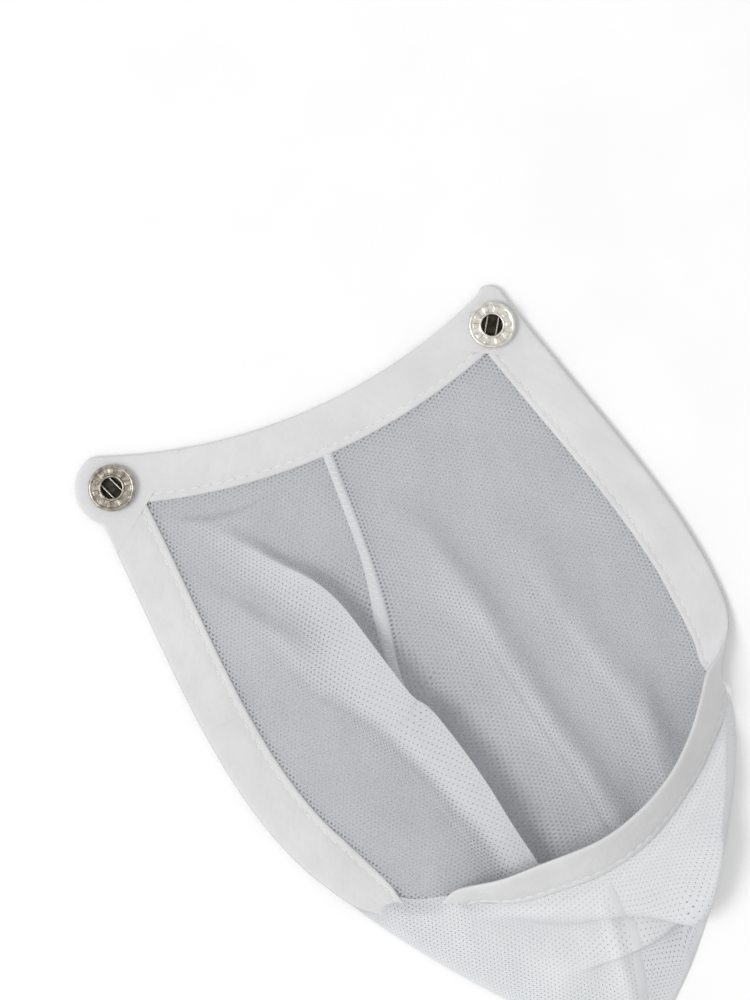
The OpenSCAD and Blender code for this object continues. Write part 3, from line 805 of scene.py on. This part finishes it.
# ---------------------------------------------------------------- the corner tabs
# At each top corner the tape is doubled and turned round the socket. The rounded
# end is the same folded twill, and the socket is clinched through it.
# The profile has shares of the way out from the socket, and half thicknesses in mm.
TAB_PROFILE = [(0.3, 0.6), (0.5, 0.6), (0.7, 0.6), (0.82, 0.6), (0.9, 0.58), (0.95, 0.5),
               (0.98, 0.36), (1.0, 0.0)]
for side, snap, arc, inner, out_dir in (("left", left_snap, left_arc, left_inner, left_out),
                                        ("right", right_snap, right_arc, right_inner, right_out)):
    if side == "left":
        top_part = top_line(0, arc[0][0], top_E[0][0], 20)[::-1]
        side_part = left_side[left_side[:, 1] > left_E[0][1]][1:]
        ring = np.vstack([inner, top_part, arc[1:], side_part, left_E[0]])
    else:
        top_part = top_line(0, top_E[-1][0], arc[0][0], 20)
        side_part = right_side[right_side[:, 1] > right_E[0][1]][::-1][:-1]
        ring = np.vstack([inner, right_E[0], side_part, arc[::-1], top_part[::-1][1:]])
    ring = evenly(np.vstack([ring, ring[:1]]), 241)[:-1]
    n, m = len(ring), len(TAB_PROFILE)
    # The cut edge keeps its full thickness, so that it meets the tapes.
    cut_edge = (ring - inner) @ out_dir < 0.3
    points, flat = [], []
    for face in (1, -1):
        for q, h in TAB_PROFILE:
            xy = snap + (ring - snap) * q
            height = np.where(cut_edge, TAPE_HALF, h)
            points.append(np.column_stack([xy, TAPE_MIDDLE + face * height]))
            flat.append(xy + (0 if face == 1 else 40))
    faces = quads([(a, a + 1) for a in [*range(m - 1), *range(m, 2 * m - 1)]], n, True)
    faces += [list(range(n)), list(range(m * n, (m + 1) * n))]
    mesh = bpy.data.meshes.new("tape_tab_" + side)
    mesh.from_pydata(placed(np.vstack(points)).tolist(), [], faces)
    put_uv(mesh, "tape_mm", np.vstack(flat))
    turned_out(mesh, weld=True)
    piece = smooth_piece("tape_tab_" + side, mesh, tape_cloth)
    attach(piece, side + "_tab")
    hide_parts(side + "_corner_tab")

# ---------------------------------------------------------------- the lockstitch rows
# White polyester thread, 0.45 mm thick, in stitches 2.6 mm long, 2 mm inside the
# tape's sewn edge. Each stitch sinks a little into the tape.
thread, tree = new_material("polyester sewing thread")
spot = add(tree, "ShaderNodeTexCoord").outputs["Object"]
ply = add(tree, "ShaderNodeTexWave", {
    "Vector": spot, "Scale": 900.0, "Distortion": 2.0},
    bands_direction="DIAGONAL").outputs["Fac"]
twist = add(tree, "ShaderNodeBump", {
    "Height": ply, "Strength": 0.3, "Distance": 0.0001}).outputs["Normal"]
face = add(tree, "ShaderNodeBsdfPrincipled", {
    "Base Color": ramp(tree, ply, [(0.0, "D9D9DA"), (1.0, "EFEFEF")]), "Roughness": 0.55,
    "IOR": 1.52, "Sheen Weight": 0.2, "Normal": twist})
add(tree, "ShaderNodeOutputMaterial", {"Surface": face.outputs[0]})


def stitch_tree():
    """Stitches laid end to end along a line."""
    tree, given = new_group("stitches", (
        ("Line", "Geometry"), ("Pitch", "Float"), ("Stitch length", "Float"),
        ("Thread", "Float"), ("Slant", "Float"), ("Yarn", "Material")), "Stitches")
    curve = add(tree, "GeometryNodeMeshToCurve", {"Mesh": given["Line"]}).outputs["Curve"]
    spaced = add(tree, "GeometryNodeResampleCurve", {
        "Curve": curve, "Length": given["Pitch"]}, mode="LENGTH").outputs["Curve"]
    ball = add(tree, "GeometryNodeMeshUVSphere", {
        "Segments": 6, "Rings": 5, "Radius": 0.5}).outputs["Mesh"]
    shape = add(tree, "ShaderNodeCombineXYZ", {
        "X": given["Stitch length"], "Y": given["Thread"], "Z": given["Thread"]}).outputs[0]
    stitch = add(tree, "GeometryNodeTransform", {
        "Geometry": ball, "Scale": shape}).outputs["Geometry"]
    slanted = add(tree, "ShaderNodeCombineXYZ", {"Z": given["Slant"]}).outputs[0]
    stitch = add(tree, "GeometryNodeTransform", {
        "Geometry": stitch, "Rotation": slanted}).outputs["Geometry"]
    tangent = add(tree, "GeometryNodeInputTangent").outputs[0]
    turned = add(tree, "FunctionNodeAlignRotationToVector", {
        "Vector": tangent}, axis="X").outputs["Rotation"]
    laid = add(tree, "GeometryNodeInstanceOnPoints", {
        "Points": spaced, "Instance": stitch, "Rotation": turned}).outputs["Instances"]
    real = add(tree, "GeometryNodeRealizeInstances", {"Geometry": laid}).outputs["Geometry"]
    done = add(tree, "GeometryNodeSetMaterial", {
        "Geometry": real, "Material": given["Yarn"]}).outputs["Geometry"]
    add(tree, "NodeGroupOutput", {"Stitches": done})
    return tree


stitches = stitch_tree()


def stitched(name, line, pitch=STITCH_PITCH / 1000, length=0.0026, thick=0.00045, slant=0.0):
    """A row of stitches along a line, with its sizes in metres."""
    mesh = bpy.data.meshes.new(name)
    mesh.from_pydata(placed(line).tolist(), [(i, i + 1) for i in range(len(line) - 1)], [])
    piece = made_by(stitches, name, mesh, {
        "Pitch": pitch, "Stitch length": length, "Thread": thick, "Slant": slant, "Yarn": thread})
    piece.data.shade_smooth()
    return piece


def row_on(E, A, face):
    """The line of a stitch row on one face of the tape."""
    height = 0.33  # mm from the tape's middle, just under its face in the dip
    return E + (A - E) * SEWN + across_tape(E, A) * face * height


for name, E, A, tab, inner, out_dir, node in (
        ("top_stitches_left", top_E[2:61], top_A[2:61],
         "left_tab", left_inner, left_out, "top_stitching"),
        ("top_stitches_right", top_E[60:-2], top_A[60:-2],
         "right_tab", right_inner, right_out, None),
        ("side_stitches_left", left_E[2:], left_A[2:],
         "left_tab", left_inner, left_out, "left_side_stitching"),
        ("side_stitches_right", right_E[2:], right_A[2:],
         "right_tab", right_inner, right_out, "right_side_stitching")):
    E, A = flat3(E), flat3(A)
    face = 1 if across_tape(E, A)[:, 2].mean() > 0 else -1
    piece = stitched(name, row_on(E, A, face))
    fold_blend(piece, inner, out_dir)
    if node:
        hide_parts(node)
for name, face in (("lip_stitches", 1), ("lip_stitches_back", -1)):
    piece = stitched(name, row_on(lip_E, lip_A, face))
    hinge_blend(piece)
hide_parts("lip_stitching")

# ---------------------------------------------------------------- the seams
# The halves of the knit meet in a narrow overlocked allowance down the middle of
# the back, and another down the front. Thread loops wrap its edge.
# The third and fourth colours are the painted highlight for seam cloth lifted off the table.
seam_cloth = knit_material("overlocked knit seam", "DDDFE2", "E9EAEC", "E0E2E4", "ECEDEE", 0.2)


def seam(name, line, surface, width, lift):
    """A low strip lying on the cloth, thicker in its middle, and its rows of points."""
    n, step = 150, 1.2
    line = evenly(line, n)
    right = to_right(line)
    strip, flat = [], []
    for q, h in ((-1, 0.0), (-0.85, 0.55), (-0.3, 0.8), (0.3, 0.8), (0.85, 0.55), (1, 0.0)):
        xyz = surface(line + right * (q * width / 2))
        xyz[:, 2] += h * lift
        strip.append(xyz)
        flat.append(np.column_stack([np.arange(n) * step, np.full(n, q * width)]))
    mesh = bpy.data.meshes.new(name)
    mesh.from_pydata(placed(np.vstack(strip)).tolist(), [],
                     quads([(j, j + 1) for j in range(len(strip) - 1)], n, False))
    put_uv(mesh, "cloth_mm", np.vstack(flat))
    turned_out(mesh, up=True)
    return smooth_piece(name, mesh, seam_cloth), strip


back_y = back_seam_line[:, 1]
back_strip, back_rows = seam("back_seam_strip", back_seam_line[(back_y < -9) & (back_y > -186)],
                             back_surface, 2.6, 0.45)
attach(back_strip, "pouch")
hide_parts("back_seam")
middle = (back_rows[2] + back_rows[3]) / 2 - (0, 0, 0.02)
loops = stitched("back_seam_loops", middle[4:-4],
                 pitch=0.0016, length=0.0027, thick=0.00032, slant=1.15)
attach(loops, "pouch")
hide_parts("back_seam_stitching")
front_strip, _ = seam("front_seam_strip", front_seam_line[front_seam_line[:, 1] < -147],
                      front_surface, 2.4, 0.16)
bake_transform(front_strip)
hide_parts("front_seam")

# ---------------------------------------------------------------- the press-stud sockets
# Nickel-plated brass, pressed: a rolled rim, a ring of ten embossed seats where the
# prongs clinch, and a raised collar round the stud hole. The right one is brighter.


def nickel_material(name, dark, light, rough):
    """Bright nickel plate over pressed brass, handled: soft streaks and a little dull bloom in
    patches."""
    material, tree = new_material(name)
    spot = add(tree, "ShaderNodeTexCoord").outputs["Object"]
    bloom = add(tree, "ShaderNodeTexNoise", {
        "Vector": spot, "Scale": 700.0, "Detail": 5.0}).outputs["Fac"]
    drawn = add(tree, "ShaderNodeTexNoise", {
        "Vector": spot, "Scale": 2500.0, "Detail": 2.0}).outputs["Fac"]
    dulled = add(tree, "ShaderNodeMapRange", {
        "Value": bloom, "To Min": rough - 0.06, "To Max": rough + 0.12}).outputs[0]
    streaks = add(tree, "ShaderNodeBump", {
        "Height": drawn, "Strength": 0.12, "Distance": 0.00005}).outputs["Normal"]
    face = add(tree, "ShaderNodeBsdfPrincipled", {
        "Base Color": ramp(tree, bloom, [(0.35, dark), (0.65, light)]), "Metallic": 1.0,
        "Roughness": dulled, "Normal": streaks})
    add(tree, "ShaderNodeOutputMaterial", {"Surface": face.outputs[0]})
    return material


# The left plate is given darker, browner colours than the right.
left_nickel = nickel_material("darker nickel plate", "8E8678", "C9C3B8", 0.28)
right_nickel = nickel_material("bright nickel plate", "D8D4CA", "F2EFE8", 0.34)
# Near-black colour for the chamber floor: painted shade in the socket's hollow.
chamber_painted_shade = nickel_material("brass with painted shade, inside the chamber", "2A2622", "4A443C", 0.5)


def socket(name, at, nickel, turn):
    """Turned from one profile, radius and height in mm above the tape, with the seats
    pressed into its face."""
    chamber_radius, chamber_floor, face_height, seats, seat_depth = 4.3, 0.32, 1.94, 10, 0.34
    profile = [
        (2.0, chamber_floor), (4.1, 0.34), (4.25, 0.45), (4.25, 1.4), (4.1, 1.52), (3.0, 1.52),
        (2.82, 1.6), (2.8, 1.9), (2.86, 2.2), (2.98, 2.34), (3.16, 2.38), (3.34, 2.32),
        (3.45, 2.14), (3.5, 1.98), (3.56, face_height)]
    profile += [(r, face_height) for r in np.linspace(3.66, 5.1, 13)]
    profile += [
        (5.2, 1.95), (5.28, 2.02), (5.38, 2.16), (5.55, 2.27), (5.78, 2.3), (6.0, 2.2),
        (6.17, 1.98), (6.25, 1.6), (6.25, 0.9), (6.2, 0.4), (6.1, 0.1), (5.95, 0.0),
        (5.0, 0.0), (2.5, 0.0)]
    n, m = 200, len(profile)
    phi = np.linspace(0, 2 * math.pi, n, endpoint=False)
    points = []
    for r, z in profile:
        face = smooth((r - 3.56) / 0.16) * smooth((5.14 - r) / 0.16) if z > 1.9 else 0
        seat = smooth((np.cos((phi + turn) * seats) + 0.15) / 0.5)
        points.append(np.column_stack([at[0] + r * np.cos(phi), at[1] + r * np.sin(phi),
                                       TAPE_FACE + z + seat_depth * seat * face]))
    points += [[[*at, TAPE_FACE + chamber_floor]], [[*at, TAPE_FACE]]]
    faces = quads([(j, j + 1) for j in range(m - 1)], n, True)
    faces += [[m * n, (i + 1) % n, i] for i in range(n)]
    last = (m - 1) * n
    faces += [[m * n + 1, last + i, last + (i + 1) % n] for i in range(n)]
    mesh = bpy.data.meshes.new(name)
    mesh.from_pydata(placed(np.vstack(points)).tolist(), [], faces)
    turned_out(mesh)
    centre = placed([[*at, 0]])[0]
    piece = smooth_piece(name, mesh, nickel, chamber_painted_shade)
    # Faces on the chamber floor take the near-black colour, painted shade in the hollow.
    for f in mesh.polygons:
        r = math.hypot(f.center.x - centre[0], f.center.y - centre[1]) * 1000
        if r < chamber_radius and 0.0022 < f.center.z < 0.0037:
            f.material_index = 1
    return piece


def made_of(node, material):
    """Gives a piece of the frame its own material."""
    node.data.materials.clear()
    node.data.materials.append(material)


for side, at, nickel, turn in (("left", left_snap, left_nickel, 0.1),
                               ("right", right_snap, right_nickel, 0.35)):
    piece = socket(side + "_socket_shell", at, nickel, turn)
    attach(piece, side + "_tab")
    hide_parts(side + "_socket")
    made_of(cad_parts[side + "_prong_ring"], nickel)

# ---------------------------------------------------------------- the spring wires
# Two lengths of bright drawn spring steel, 0.6 mm thick, lie across each socket's
# chamber and snap round the stud's neck.
steel, tree = new_material("drawn spring steel")
spot = add(tree, "ShaderNodeTexCoord").outputs["Object"]
streak = add(tree, "ShaderNodeTexNoise", {
    "Vector": spot, "Scale": 1800.0, "Detail": 3.0}).outputs["Fac"]
drawn = add(tree, "ShaderNodeBump", {
    "Height": streak, "Strength": 0.15, "Distance": 0.00004}).outputs["Normal"]
face = add(tree, "ShaderNodeBsdfPrincipled", {
    "Base Color": ramp(tree, streak, [(0.3, "9A9790"), (0.7, "C4C1BA")]), "Metallic": 1.0,
    "Roughness": 0.26, "Normal": drawn})
add(tree, "ShaderNodeOutputMaterial", {"Surface": face.outputs[0]})
for side in ("left", "right"):
    for k in ("1", "2"):
        made_of(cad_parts[side + "_spring_wire_" + k], steel)
